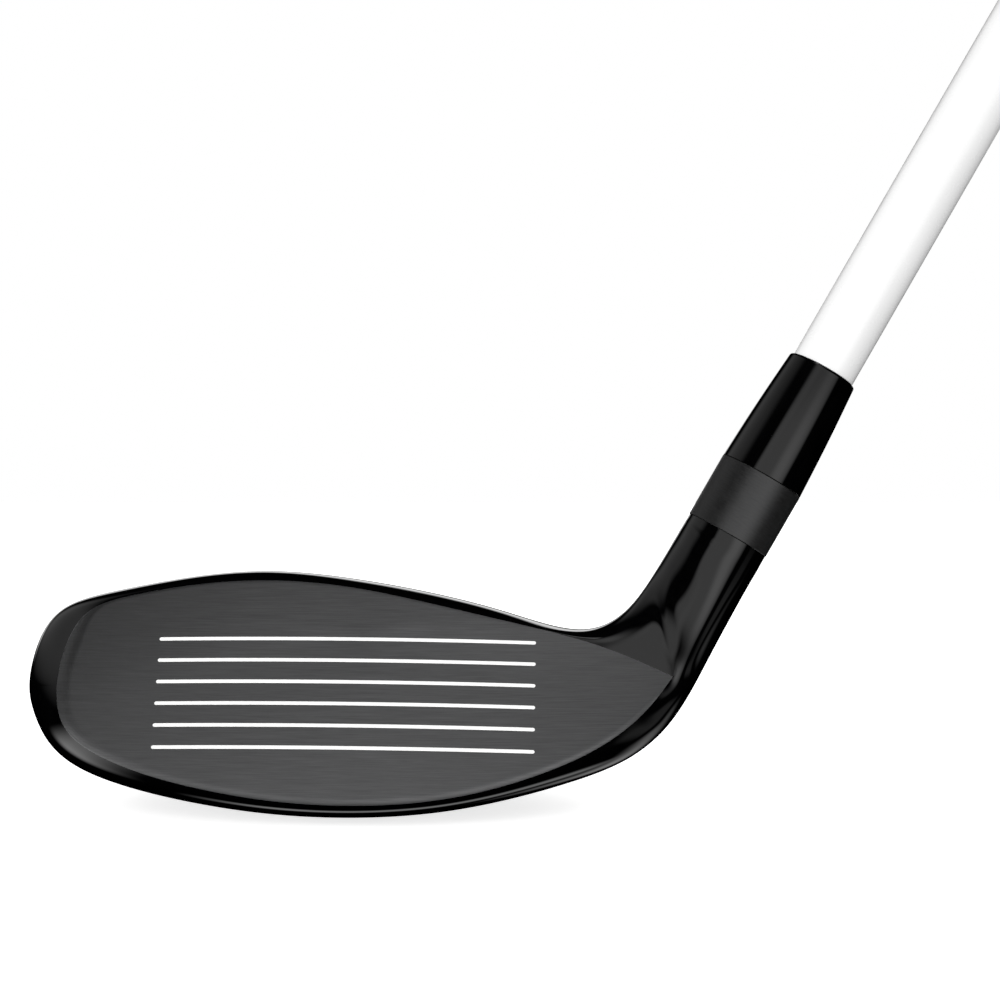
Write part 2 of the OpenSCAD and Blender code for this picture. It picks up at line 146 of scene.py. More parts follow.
def bezier(a, b, c, d, n):
    t = np.linspace(0, 1, n + 1)[:, None]
    return (1 - t) ** 3 * a + 3 * (1 - t) ** 2 * t * b + 3 * (1 - t) * t * t * c + t ** 3 * d


def open_ends(points):
    """Adds the extra points straight on past each end."""
    p = np.array(points, float)
    return np.vstack([2 * p[0] - p[1], p, 2 * p[-1] - p[-2]])


def toe_ends(points):
    """The same, but mirrored at the toe so that it closes round."""
    p = np.array(points, float)
    first = [p[1][0], 2 * p[0][1] - p[1][1], 2 * p[0][2] - p[1][2]]
    return np.vstack([first, p, 2 * p[-1] - p[-2]])


def face_y(x, z):
    """How far back the front of the face is, from its loft, its opening, its bulge and its roll."""
    return (FACE_MID[1] + (z - FACE_MID[2]) * math.tan(LOFT) - x * math.tan(FACE_OPEN)
            + x * x / (2 * BULGE_R) + (z - FACE_MID[2]) ** 2 / (2 * ROLL_R))


def on_face(p):
    return np.array([p[0], face_y(p[0], p[1]), p[1]])


TOP_CURVE = toe_ends(TOP_RAIL)
LOW_CURVE = toe_ends(LOW_RAIL)
REAR_CURVE = toe_ends(REAR_RAIL)
FACE_TOP_CURVE = np.vstack([FACE_LOW[1], open_ends(FACE_TOP)[1:]])
FACE_LOW_CURVE = np.vstack([FACE_TOP[1], open_ends(FACE_LOW)[1:]])
FACE_HEEL = on_face(FACE_TOP[-1])
NECK_FRONT = open_ends([FACE_HEEL, neck(35.8, -1, -6), neck(BAND_START, 0, -NECK_R)])

# The bare face rolls over a little before the paint starts: width and slope of that edge, in mm
RIM_TOE = 2.3
RIM_LOW = 1.0
RIM_TOP = 0.35
SLOPE_TOE = 0.6
SLOPE_LOW = 0.55
SLOPE_TOP = 0.35


def rolled(s, width, slope, narrows, ends):
    """(width, slope at the edge) of the rolled edge at a station; narrows and ends are pairs of stations."""
    along, left = ease(*narrows, s), 1 - ease(*ends, s)
    return mix(RIM_TOE, width, along) * left, mix(SLOPE_TOE, slope, along) * left


def rim_low(s):
    return rolled(s, RIM_LOW, SLOPE_LOW, (1.5, 5), (12, 13))


def rim_top(s):
    """By the heel the paint above the face starts on the flat."""
    return rolled(s, RIM_TOP, SLOPE_TOP, (2.2, 3.6), (9.2, 10.8))


def drop(rim, s):
    """How far the edge of the face lies behind its front."""
    width, slope = rim(s)
    return width * slope / 2


TOE_REACH = 3.5     # by this station the face's outline and the rails run level


def face_along(s):
    """Station on the face's outline, which has one control point less than the rails."""
    return s - 1 + (1 - s / TOE_REACH) ** 3 if s < TOE_REACH else s - 1


def front_point(s, curve, rim):
    """Where the painted head meets the front: on the face's edge, and then up the front of the neck."""
    if s >= FACE_TO:
        return bspline(NECK_FRONT, s - FACE_TO)
    return on_face(bspline(curve, face_along(s))) + BACK * drop(rim, s)


def front_low(s):
    return front_point(s, FACE_LOW_CURVE, rim_low)


def front_top(s):
    return front_point(s, FACE_TOP_CURVE, rim_top)


def section_up(s):
    """The upward direction of the head's section at a station, which leans with the neck."""
    d = bspline(TOP_CURVE, s) - bspline(LOW_CURVE, s)
    return unit(np.array([d[0], 0, d[2]])) if np.linalg.norm(d) > 1e-9 else np.array([0, 0, 1.0])


def tube(s):
    """How round the section is: 1 at the toe's tip and up the neck."""
    return max(ease(9, 14, s), 1 - ease(0, 3, s))


# Steps of an outline along its four parts, and how full the crown and the sole are along and down
TOP_N, CROWN_N, SOLE_N, LOW_N = 20, 100, 80, 20
CROWN_ALONG, CROWN_DOWN = 0.5, 0.45
SOLE_ALONG, SOLE_DOWN = 0.62, 0.6


def crown_hull(s):
    a, d, up = bspline(TOP_CURVE, s), bspline(REAR_CURVE, s), section_up(s)
    return (a, a + BACK * (d[1] - a[1]) * mix(CROWN_ALONG, CIRCLE, tube(s)),
            d + up * abs((a - d) @ up) * mix(CROWN_DOWN, CIRCLE, tube(s)), d)


def sole_hull(s):
    a, d, up = bspline(REAR_CURVE, s), bspline(LOW_CURVE, s), section_up(s)
    return (a, a - up * abs((a - d) @ up) * mix(SOLE_DOWN, CIRCLE, tube(s)),
            d + BACK * (a[1] - d[1]) * mix(SOLE_ALONG, CIRCLE, tube(s)), d)


# The slope of the neck's front where it leaves the face's heel, across and up; it is level across the neck
NECK_RUN = unit(bspline(NECK_FRONT, NEAR) - bspline(NECK_FRONT, -NEAR))
NECK_X = NECK_RUN[1] / (NECK_RUN[0] - NECK_RUN[2] * OUT.x / OUT.z)
NECK_Z = -NECK_X * OUT.x / OUT.z


def face_outward(s, curve, sign):
    """The direction in which the paint leaves the face's edge; sign is 1 above and -1 below.

    It is square to the edge and goes on along the face, but by the heel it follows the neck's front.
    """
    u = min(face_along(s), FACE_TO - 1)
    (x, z), (dx, dz) = bspline(curve, u), bspline(curve, u + NEAR) - bspline(curve, u - NEAR)
    ox, oz = -dz * sign, dx * sign
    slope = (x / BULGE_R - math.tan(FACE_OPEN)) * ox + (math.tan(LOFT) + (z - FACE_MID[2]) / ROLL_R) * oz
    return unit(np.array([ox, mix(slope, NECK_X * ox + NECK_Z * oz, ease(9.5, FACE_TO, s)), oz]))


def leaving(s, curve, rim, sign):
    """The direction in which an outline leaves the front: out of the face's edge, or across the neck."""
    d = mix(section_up(s) * sign, face_outward(s, curve, sign), 1 - ease(12, 14, s))
    return unit(unit(d) + BACK * rim(s)[1])


def front_handle(b, end, d):
    """The handle of an outline that leaves b along d and turns through a quarter to end."""
    return b + d * abs((end - b) @ unit(d * [1, 0, 1])) * CIRCLE


LEAST_DEPTH = 0.5


def top_edge(s):
    """From the front's upper edge to the head's highest line, with a fuller curve where the neck begins."""
    b, top = front_top(s), bspline(TOP_CURVE, s)
    fuller = ease(FACE_TO - 3, FACE_TO, s) * (1 - ease(FACE_TO - 1, FACE_TO + 1, s))
    depth = max(top[1] - b[1], LEAST_DEPTH) + fuller
    return bezier(b, front_handle(b, top, leaving(s, FACE_TOP_CURVE, rim_top, 1)),
                  top - BACK * depth * CIRCLE, top, TOP_N)


def leading_edge(s):
    """From the head's lowest line to the front's lower edge."""
    a, low = front_low(s), bspline(LOW_CURVE, s)
    depth = max(low[1] - a[1], LEAST_DEPTH)
    return bezier(low, low - BACK * depth * CIRCLE,
                  front_handle(a, low, leaving(s, FACE_LOW_CURVE, rim_low, -1)), a, LOW_N)


def outline(s):
    """The head's outline at a station: from the front's upper edge round the back to its lower edge."""
    return np.vstack([top_edge(s), bezier(*crown_hull(s), CROWN_N)[1:], bezier(*sole_hull(s), SOLE_N)[1:],
                      leading_edge(s)[1:]])


# ---------------------------------------------------------------- mesh building
WELD = 1e-3     # points closer than this are one, in mm


class Mesh:
    """Collects grids of points in mm and turns them into one mesh object, in metres unless scale says mm."""

    def __init__(self):
        self.points, self.faces, self.count = [], [], 0

    def grid(self, p, skip=None, wrap=False):
        """Adds a grid of points with a quad in each cell, except where skip(i, j) is true."""
        p = np.asarray(p, float)
        n, m = p.shape[:2]
        first = self.count
        self.points.append(p.reshape(-1, 3))
        self.count += n * m
        for i in range(n - 1):
            for j in range(m if wrap else m - 1):
                if skip is None or not skip(i, j):
                    k = (j + 1) % m
                    self.faces.append((first + i * m + j, first + i * m + k,
                                       first + (i + 1) * m + k, first + (i + 1) * m + j))

    def fan(self, ring, tip):
        """Closes a ring of points with triangles to a tip."""
        ring = np.asarray(ring, float)
        first = self.count
        self.points += [ring, np.asarray(tip, float)[None]]
        self.count += len(ring) + 1
        for j in range(len(ring)):
            self.faces.append((first + j, first + (j + 1) % len(ring), first + len(ring)))

    def object(self, name, sharp=40, scale=MM, matrix=None):
        """Makes the mesh object; sharp is the angle in degrees from which an edge stays sharp."""
        mesh = bpy.data.meshes.new(name)
        mesh.from_pydata(np.vstack(self.points).tolist(), [], self.faces)
        bm = bmesh.new()
        bm.from_mesh(mesh)
        bmesh.ops.remove_doubles(bm, verts=bm.verts, dist=WELD)
        bmesh.ops.recalc_face_normals(bm, faces=bm.faces)
        if bm.calc_volume(signed=True) < 0:
            bmesh.ops.reverse_faces(bm, faces=bm.faces)
        bmesh.ops.scale(bm, vec=(scale,) * 3, verts=bm.verts)
        mark_sharp(bm, sharp)
        bm.to_mesh(mesh)
        bm.free()
        obj = bpy.data.objects.new(name, mesh)
        bpy.context.scene.collection.objects.link(obj)
        if matrix is not None:
            obj.matrix_world = matrix
        return obj


def mark_sharp(bm, degrees):
    limit = math.radians(degrees)
    for f in bm.faces:
        f.smooth = True
    for e in bm.edges:
        e.smooth = len(e.link_faces) != 2 or e.calc_face_angle(0) < limit


def place(t):
    """Matrix that puts +Z on the shaft's line with the origin t mm from the ground."""
    x = -OUT
    y = AXIS.cross(x)
    m = Matrix((x, y, AXIS)).transposed().to_4x4()
    m.translation = GROUND + AXIS * (t * MM)
    return m


def turned(name, profile, matrix, scale=MM, segments=192, sharp=35, shape=None):
    """A closed round piece from (radius, height) points in mm; shape(r, height, angle) changes the radius."""
    m = Mesh()
    p = np.array(profile, float)
    angle = np.linspace(0, 2 * math.pi, segments, endpoint=False)
    r = np.repeat(p[:, :1], segments, 1)
    h = np.repeat(p[:, 1:], segments, 1)
    if shape is not None:
        r = shape(r, h, angle[None, :])
    ring = np.stack([r * np.cos(angle), r * np.sin(angle), h], 2)
    m.grid(np.concatenate([ring, ring[:1]]), wrap=True)
    return m.object(name, sharp, scale=scale, matrix=matrix)


def arc(cr, ch, r, start, end, n):
    """n points of an arc in a profile, about (cr, ch), between two angles in degrees."""
    turns = np.radians(np.linspace(start, end, n))
    return [(cr + r * math.cos(a), ch + r * math.sin(a)) for a in turns]


# ---------------------------------------------------------------- where face, crown and neck flow together
FAIR_ROUNDS = 2400
FAIR_IN = 0.5           # a round smooths by the first and swells back by the second, so nothing shrinks
FAIR_OUT = -0.5025
FAIR_STATIONS = (10.4, 14.9)
CORE_ROUNDS = 60        # rounds between two looks at the core
FREE_ROUNDS = 120       # rounds at the end that leave the core alone
CORE_R = 5.2            # least radius of the neck round the shaft's bore, low down and at its top
CORE_TOP_R = NECK_R - 0.03
CORE_STARTS = (27.5, 33)    # distances along the shaft's line between which the core starts, and widens
CORE_WIDENS = (33, 43)
CORE_SOFT = 0.05        # how gently it takes over, in mm, and where that comes in
CORE_SOFTENS = (23.5, 27)


def with_core(p):
    """Keeps metal round the shaft's bore: a core that fades out toward the face."""
    q = p - GROUND_MM
    t = q @ AXIS_MM
    side = q - t[..., None] * AXIS_MM
    r = np.maximum(np.linalg.norm(side, axis=-1), 0.01)
    gap = mix(CORE_R, CORE_TOP_R, ease(*CORE_WIDENS, t)) * ease(*CORE_STARTS, t) - r
    soft = CORE_SOFT * ease(*CORE_SOFTENS, t) + 0.01
    filled = np.where(gap < -soft, 0, np.where(gap > soft, gap, (gap + soft) ** 2 / (4 * soft)))
    return p + side * (filled / r)[..., None]


def spread(p, first, last):
    """The mean of each point's four neighbours, less the point; first and last lie beyond the rings' ends."""
    down = np.concatenate([p[:1], p[:-1]])
    up = np.concatenate([p[1:], p[-1:]])
    left = np.concatenate([first[:, None], p[:, :-1]], 1)
    right = np.concatenate([p[:, 1:], last[:, None]], 1)
    return (down + up + left + right) / 4 - p


def beyond(edge, inner):
    """The point as far inside the face as inner is outside its edge."""
    g = 2 * edge - inner
    g[:, 1] = edge[:, 1] + face_y(g[:, 0], g[:, 2]) - face_y(edge[:, 0], edge[:, 2])
    return g


def fair(rings, stations):
    """Takes the short waves out of the saddle between face, crown and neck, and keeps the long ones.

    A point's weight is full near the front, and eases out over crown and sole, to the toe and up the neck.
    """
    rows = np.where((stations > FAIR_STATIONS[0]) & (stations < FAIR_STATIONS[1]))[0]
    s = stations[rows][:, None]
    p = rings[rows].copy()
    end = p.shape[1] - 1
    j = np.arange(end + 1)[None, :]
    closed = s >= FACE_TO
    upper = (1 - ease(TOP_N + 10, TOP_N + 50, j)) * ease(10.6, 11.6, s)
    lower = ease(end - LOW_N - 30, end - LOW_N, j) * ease(11.6, 12.6, s)
    weight = np.maximum(upper, lower) * (1 - ease(14.0, 14.8, s))
    on_edge = s[:, 0] <= FACE_TO
    weight[on_edge, 0] = weight[on_edge, -1] = 0
    weight = weight[:, :, None]
    for k in range(FAIR_ROUNDS):
        for step in (FAIR_IN, FAIR_OUT):
            first = np.where(closed, p[:, -2], beyond(p[:, 0], p[:, 1]))
            last = np.where(closed, p[:, 1], beyond(p[:, -1], p[:, -2]))
            p = p + step * weight * spread(p, first, last)
            p[closed[:, 0], -1] = p[closed[:, 0], 0]
        if (k + 1) % CORE_ROUNDS == 0 and k < FAIR_ROUNDS - FREE_ROUNDS:
            p = np.where(weight > 0, with_core(p), p)
    rings[rows] = p


# ---------------------------------------------------------------- the head: painted body and crown
SEAM = 0.07             # depth of the hairline between crown and body
SEAM_HALF = 0.12        # half its width, in mm, and across the stations
SEAM_HALF_S = 0.012
CROWN_T = 0.9
CROWN_S = (2.7, 10.2)   # stations where the crown plate begins and ends
CROWN_E = (0.06, 0.8)   # how far over the crown it begins and ends
FACE_T = 2.4
SEAT_FULL = (1.6, 12.4)     # stations between which the face's seat has its full depth
PER_STATION = 20

seam_stations = [s + side * SEAM_HALF_S for s in CROWN_S for side in (-1, 1)]
even_stations = np.linspace(0, LAST, LAST * PER_STATION + 1)
stations = np.unique(np.round(np.concatenate([even_stations, seam_stations]), 6))
rings = np.array([outline(s) for s in stations])
S0, S1 = (int(np.argmin(abs(stations - s))) for s in CROWN_S)
J0, J1 = (TOP_N + int(round(e * CROWN_N)) for e in CROWN_E)


def crown_depth(i, j, depth):
    """A point under the outer surface of the crown."""
    return rings[i, j] - section_up(stations[i]) * depth


def seam_line():
    """Sinks the line where crown and body meet, so that a fine V runs along it."""
    for i in range(S0, S1 + 1):
        for j in (J0, J1):
            edge = rings[i, j].copy()
            for k in (j - 1, j + 1):
                step = rings[i, k] - edge
                rings[i, k] = edge + step * min(1, SEAM_HALF / np.linalg.norm(step))
            rings[i, j] = crown_depth(i, j, SEAM)
    for i in (S0, S1):
        for j in range(J0 + 1, J1):
            rings[i, j] = crown_depth(i, j, SEAM)


fair(rings, stations)
seam_line()
inner_crown = np.array([[crown_depth(i, j, CROWN_T) for j in range(J0, J1 + 1)] for i in range(S0, S1 + 1)])
outer_crown = rings[S0:S1 + 1, J0:J1 + 1]


def rim_walls(mesh, a, b):
    """Walls between the edges of two grids of the same size."""
    for p, q in ((a[0], b[0]), (a[-1], b[-1]), (a[:, 0], b[:, 0]), (a[:, -1], b[:, -1])):
        mesh.grid([p, q])


F0, F1 = (int(np.argmin(abs(stations - s))) for s in (FACE_FROM, FACE_TO))
face_stations = stations[F0:F1 + 1]


def face_depth(s):
    """Depth of the seat behind the face, which runs out at its two ends."""
    return FACE_T * ease(FACE_FROM, SEAT_FULL[0], s) * (1 - ease(SEAT_FULL[1], FACE_TO, s))


FACE_N = 110        # steps across the face, closer together near its edges
SEAT_STEP = 10      # the hidden seat behind it is this much coarser
across = 0.5 - 0.5 * np.cos(np.linspace(0, math.pi, FACE_N + 1))
low_edge = np.array([front_low(s) for s in face_stations])
top_line = np.array([front_top(s) for s in face_stations])


def face_grid():
    """The front of the face: bulge and roll, with its edge rolled over."""
    p = low_edge[:, None] * (1 - across)[None, :, None] + top_line[:, None] * across[None, :, None]
    p[:, :, 1] = face_y(p[:, :, 0], p[:, :, 2])
    flat = p[:, :, [0, 2]].reshape(-1, 2)
    fall = np.zeros(len(flat))
    for edge, rim in ((low_edge, rim_low), (top_line, rim_top)):
        best = np.full(len(flat), 1e9)
        which = np.zeros(len(flat), int)
        for k, e in enumerate(edge[:, [0, 2]]):
            d = np.linalg.norm(flat - e, axis=1)
            closer = d < best
            best[closer], which[closer] = d[closer], k
        width, slope = np.array([rim(s) for s in face_stations])[which].T
        fall = np.maximum(fall, width * slope / 2 * np.clip(1 - best / np.maximum(width, 1e-3), 0, 1) ** 2)
    p[:, :, 1] += fall.reshape(p.shape[:2])
    p[:, 0], p[:, -1] = low_edge, top_line
    return p


face_front = face_grid()
depths = np.array([face_depth(s) for s in face_stations])[:, None, None]
face_seat = face_front + BACK * depths

body = Mesh()
body.grid(rings, skip=lambda i, j: S0 <= i < S1 and J0 <= j < J1)
body.grid(inner_crown)
rim_walls(body, outer_crown, inner_crown)
body.grid(np.stack([low_edge, face_seat[:, 0]], 1))
body.grid(face_seat[:, ::SEAT_STEP])
body.grid(np.stack([face_seat[:, -1], top_line], 1))
# The top of the neck: a small chamfer and a lid, both hidden by the bare band's collar
CHAMFER = 0.05
neck_top = neck(BAND_START, 0, 0)
lid_ring = neck_top + (rings[-1] - neck_top) * 0.97 + AXIS_MM * CHAMFER
body.grid([rings[-1], lid_ring])
body.fan(lid_ring, neck_top + AXIS_MM * CHAMFER)
head_shell = body.object("head_shell", scale=1)

crown = Mesh()
crown.grid(outer_crown)
crown.grid(inner_crown)
rim_walls(crown, outer_crown, inner_crown)
crown_skin = crown.object("crown_skin")

face = Mesh()
face.grid(np.concatenate([face_front, face_seat[:, ::-1], face_front[:, :1]], 1))
face_insert = face.object("face_insert", scale=1)

# ---------------------------------------------------------------- score lines
LINE_COUNT = 6
LINE_PITCH = 3.1
LINE_MID = 0.65         # how far the middle of the set lies above the middle of the face
LINE_FROM = -26         # from the toe to the heel
LINE_TO = 26.75
LINE_R = 0.25           # half of a line's width
LINE_TILT = math.radians(1.1)
LINE_DEPTH = 0.4
PAINT_DEPTH = 0.03      # the paint lies this far under the face, and sags this much more along its middle
PAINT_SAG = 0.04
END_STEPS = 6           # steps of a line's round ends
FACE_UP = unit(np.array([0, math.tan(LOFT), 1]))
FACE_NORMAL = np.array([0, -math.cos(LOFT), math.sin(LOFT)])


def milled(u, v, depth):
    """The point under (u, v) on the plane of the lines, cut square to it down to a depth behind the face."""
    c, d = math.cos(LINE_TILT), math.sin(LINE_TILT)
    q = np.array(FACE_MID, float) + np.array([1.0, 0, 0]) * (u * c + v * d) + FACE_UP * (v * c - u * d)
    sunk = 0.0
    for _ in range(12):     # each pass comes closer to the curved surface
        p = q - FACE_NORMAL * sunk
        sunk += (face_y(p[0], p[2]) + depth - p[1]) * math.cos(LOFT)
    return q - FACE_NORMAL * sunk


def line_solid(name, top, bottom, dish=0.0):
    """All the score lines as solids between two depths behind the face's surface."""
    m = Mesh()
    turn = [math.pi / 2 * k / END_STEPS for k in range(END_STEPS + 1)]
    for i in range(LINE_COUNT):
        v = LINE_MID + (i - (LINE_COUNT - 1) / 2) * LINE_PITCH
        stations_along = [(LINE_FROM - LINE_R * math.cos(a), LINE_R * math.sin(a)) for a in turn]
        stations_along += [(x, LINE_R) for x in np.arange(LINE_FROM + 1, LINE_TO - 0.5, 1.0)]
        stations_along += [(LINE_TO + LINE_R * math.sin(a), LINE_R * math.cos(a)) for a in turn]
        ring = []
        for depth, order in ((top, (-1, -0.5, 0, 0.5, 1)), (bottom, (1, 0, -1))):
            for k in order:
                sag = dish * (1 - k * k) if depth == top else 0
                ring.append([milled(u, v + k * w, depth + sag) for u, w in stations_along])
        ring.append(ring[0])
        grid = np.array(ring).transpose(1, 0, 2)
        m.grid(grid)
        for cap in (grid[0], grid[-1]):     # five points of the upper row close onto the three of the lower
            m.grid([cap[:5], cap[[7, 7, 6, 5, 5]]])
    return m.object(name, scale=1)


def cut(obj, tool, sharp):
    """Cuts a tool out of obj while both are in mm, then turns obj into metres."""
    mod = obj.modifiers.new("cut", "BOOLEAN")
    mod.operation = "DIFFERENCE"
    mod.solver = "EXACT"
    mod.object = tool
    bpy.context.view_layer.update()
    mesh = bpy.data.meshes.new_from_object(obj.evaluated_get(bpy.context.evaluated_depsgraph_get()))
    obj.modifiers.clear()
    bm = bmesh.new()
    bm.from_mesh(mesh)
    bmesh.ops.scale(bm, vec=(MM,) * 3, verts=bm.verts)
    mark_sharp(bm, sharp)
    bm.to_mesh(mesh)
    bm.free()
    mesh.name = obj.name
    obj.data = mesh
    bpy.data.objects.remove(tool)


cut(face_insert, line_solid("line_tool", -1, LINE_DEPTH), 30)
score_lines = line_solid("score_lines", PAINT_DEPTH, LINE_DEPTH, dish=PAINT_SAG)
score_lines.data.transform(Matrix.Scale(MM, 4))

# ---------------------------------------------------------------- the weight screw and its port in the sole
PORT_TURN = math.radians(194)       # the screw points down and a little back
PORT_DIR = Vector((0, -math.sin(PORT_TURN), math.cos(PORT_TURN)))
screw_co = np.array([v.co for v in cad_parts["weight_screw"].data.vertices]) / MM
screw_mid = middle("weight_screw") / MM
# The screw's outer end: as far along its direction as the CAD node goes
SCREW_TOP = screw_mid + PORT_DIR * ((screw_co @ np.array(PORT_DIR)).max() - screw_mid.dot(PORT_DIR))
SCREW_R = 6.0
SCREW_SEGMENTS = 96
SHANK_R = 3.5
SHANK_DEPTH = 8.5       # how deep the shank's hole and the head's seat go under the screw's top
SEAT_DEPTH = 3
SOCKET_R = 2.0
SHANK_FIT_R = SHANK_R - 0.05
HEAD_GAP = 0.2
PORT_R = SCREW_R + HEAD_GAP


def port_matrix(scale):
    x = Vector((1, 0, 0))
    m = Matrix((x, PORT_DIR.cross(x), PORT_DIR)).transposed().to_4x4()
    m.translation = SCREW_TOP * scale
    return m


port_tool = turned("port_tool", [(0, -SHANK_DEPTH), (SHANK_R, -SHANK_DEPTH), (SHANK_R, -SEAT_DEPTH),
                                 (PORT_R, -SEAT_DEPTH), (PORT_R, 0.35), (PORT_R + 1, 1.3), (PORT_R + 1, 12),
                                 (0, 12)], port_matrix(1), scale=1, segments=SCREW_SEGMENTS)
cut(head_shell, port_tool, 32)


def hexagon(r, h, angle):
    """Turns the socket's wall into six flats."""
    k = SOCKET_R / np.cos((angle + math.pi / 6) % (math.pi / 3) - math.pi / 6)
    return np.where((r > 1.4) & (r < 2.1) & (h < -0.25), k * r / SOCKET_R, r)


SCREW_OUTLINE = [(0, -8.3), (SHANK_R - 0.4, -8.3), (SHANK_FIT_R, -7.9), (SHANK_FIT_R, -2.5),
                 (SCREW_R - 0.15, -2.5), (SCREW_R, -2.35), (SCREW_R, -0.4)]
SCREW_OUTLINE += arc(SCREW_R - 0.35, -0.35, 0.35, 0, 90, 6)
SCREW_OUTLINE += [(4.6, 0), (4.45, -0.08), (3.9, -0.08), (3.75, 0), (2.75, 0), (2.6, -0.06)]
SCREW_OUTLINE += [(SOCKET_R + 0.05, -0.45), (SOCKET_R, -0.5), (SOCKET_R, -1.9), (1.5, -2.0), (0, -2.3)]
weight_bolt = turned("weight_bolt", SCREW_OUTLINE, port_matrix(MM), segments=SCREW_SEGMENTS, shape=hexagon)

# ---------------------------------------------------------------- band, ferrule, shaft
BAND_L = BAND_END - BAND_START
BAND_BORE_R = 4.775
BAND_EDGE = 0.12
band_outline = [(BAND_BORE_R, 0.02), (HOSEL_R - BAND_EDGE, 0.02), (HOSEL_R, BAND_EDGE)]
band_outline += [(HOSEL_R, BAND_L * k / 4) for k in (1, 2, 3)]
band_outline += [(HOSEL_R, BAND_L - BAND_EDGE), (HOSEL_R - 0.1, BAND_L), (BAND_BORE_R, BAND_L)]
hosel_band = turned("hosel_band", band_outline, place(BAND_START))

ferrule_t, ferrule_r = on_axis("ferrule")
FERRULE_L = ferrule_t.max() - ferrule_t.min()
FERRULE_TOP_R = ferrule_r[ferrule_t > ferrule_t.max() - 1].max()
FERRULE_SWELL = 0.1
LIP = 0.42
BORE_R = ferrule_r.min()


def ferrule_outline():
    """Narrows upward with a slight swell, and ends in a rounded lip round the shaft."""
    foot = HOSEL_R - 0.02
    points = [(BORE_R, 0), (foot - 0.04, 0), (foot, 0.04)]
    for t in np.linspace(0.02, 1, 28):
        r = mix(foot, FERRULE_TOP_R, t) + FERRULE_SWELL * math.sin(math.pi * t)
        points.append((r, (FERRULE_L - LIP) * t))
    points += arc(FERRULE_TOP_R - LIP, FERRULE_L - LIP, LIP, 8, 90, 9)
    return points + [(BORE_R + 0.12, FERRULE_L), (BORE_R, FERRULE_L - 0.12)]


ferrule_collar = turned("ferrule_collar", ferrule_outline(), place(ferrule_t.min()))

shaft_t, shaft_r = on_axis("shaft")
TIP_R = shaft_r[shaft_t < shaft_t.min() + 60].max()
BUTT_R = shaft_r.max()
TIP_END = shaft_t[(shaft_r > TIP_R - 0.01) & (shaft_t < shaft_t.min() + 250)].max()
BUTT_START = shaft_t[(shaft_r > BUTT_R - 0.01)].min()
BUTT_BORE_R = BUTT_R - 1.4
TIP_BORE_R = 2.7
PIN_BORE_R = 2.0
SHAFT_EDGE = 0.3
shaft_outer = [(TIP_R - SHAFT_EDGE, shaft_t.min()), (TIP_R, shaft_t.min() + SHAFT_EDGE)]
shaft_outer += [(TIP_R, t) for t in np.linspace(shaft_t.min() + 5, TIP_END, 14)]
shaft_outer += [(mix(TIP_R, BUTT_R, w), mix(TIP_END, BUTT_START, w)) for w in np.linspace(0.04, 1, 26)]
shaft_outer += [(BUTT_R, shaft_t.max() - SHAFT_EDGE), (BUTT_R - SHAFT_EDGE, shaft_t.max())]
shaft_inner = [(BUTT_BORE_R, shaft_t.max()), (BUTT_BORE_R, BUTT_START), (TIP_BORE_R, TIP_END),
               (PIN_BORE_R, shaft_t.min() + 60), (PIN_BORE_R, shaft_t.min())]
shaft_tube = turned("shaft_tube", shaft_outer + shaft_inner, place(0))

# ---------------------------------------------------------------- grip
grip_t, grip_r = on_axis("grip_sleeve")
GRIP_L = grip_t.max() - grip_t.min()
GRIP_BORE = grip_r.min()

# (radius, height) of the rubber from its mouth to the cap, as on the CAD node, for its nominal length
GRIP_POINTS = [(9.6, 0), (10, 1.5), (9.8, 4), (9.5, 7), (9.9, 70), (10.6, 140), (11.6, 200), (12.6, 240),
               (13.3, 254), (14.2, 260), (14.5, 262)]


def grip_outline(h):
    """Outer radius of the rubber at a distance from its mouth."""
    k = GRIP_L / GRIP_POINTS[-1][1]
    return np.interp(h, [p[1] * k for p in GRIP_POINTS], [p[0] for p in GRIP_POINTS])


GROOVE = 0.45           # depth of the pattern
DIAMONDS = 24           # diamonds round the grip, and the length of each
DIAMOND_L = 4.2
DIAMOND_LINE = 0.13
PATTERN_IN = (14, 17)   # where the lattice starts, from the mouth, and ends, from the cap
PATTERN_OUT = (24, 20)
PLAIN_BANDS = (70, 128, 186)
PLAIN_HALF = 3.2
RING_HALF = 0.7
RINGS_AT = (8.5, 11.5, GRIP_L - 17, GRIP_L - 14, GRIP_L - 11)


def grip_texture(r, h, angle):
    """Rubber surface: a diamond lattice between plain bands, and rings cut near both ends."""
    outside = r > grip_outline(h) - 0.6
    turn = angle / (2 * math.pi) * DIAMONDS
    a = (turn + h / DIAMOND_L) % 1
    b = (turn - h / DIAMOND_L) % 1
    line = np.maximum(*(np.exp(-((c - 0.5) / DIAMOND_LINE) ** 2) for c in (a, b)))
    zone = ease(*PATTERN_IN, h) * (1 - ease(*(GRIP_L - x for x in PATTERN_OUT), h))
    for at in PLAIN_BANDS:
        zone = zone * (1 - np.exp(-((h - at) / PLAIN_HALF) ** 4))
    rings_cut = sum(np.exp(-((h - at) / RING_HALF) ** 2) for at in RINGS_AT)
    return np.where(outside, r - GROOVE * (line * zone + 0.8 * np.minimum(rings_cut, 1)), r)


def grip_profile():
    """The rubber's outline, with a bore that opens out where the tape begins."""
    heights = np.linspace(1.5, GRIP_L - 2, 420)
    points = [(GRIP_BORE, 0), (grip_outline(0) - 0.7, 0), (grip_outline(0), 0.7)]
    points += [(float(grip_outline(h)), h) for h in heights]
    butt = grip_outline(GRIP_L)
    points += [(butt, GRIP_L - 0.6), (butt - 0.3, GRIP_L)]
    tape_r = radius("grip_tape")
    return points + [(tape_r, GRIP_L), (tape_r, 20), (GRIP_BORE + 0.35, 20)]


grip_rubber = turned("grip_rubber", grip_profile(), place(grip_t.min()), segments=240, sharp=60,
                     shape=grip_texture)

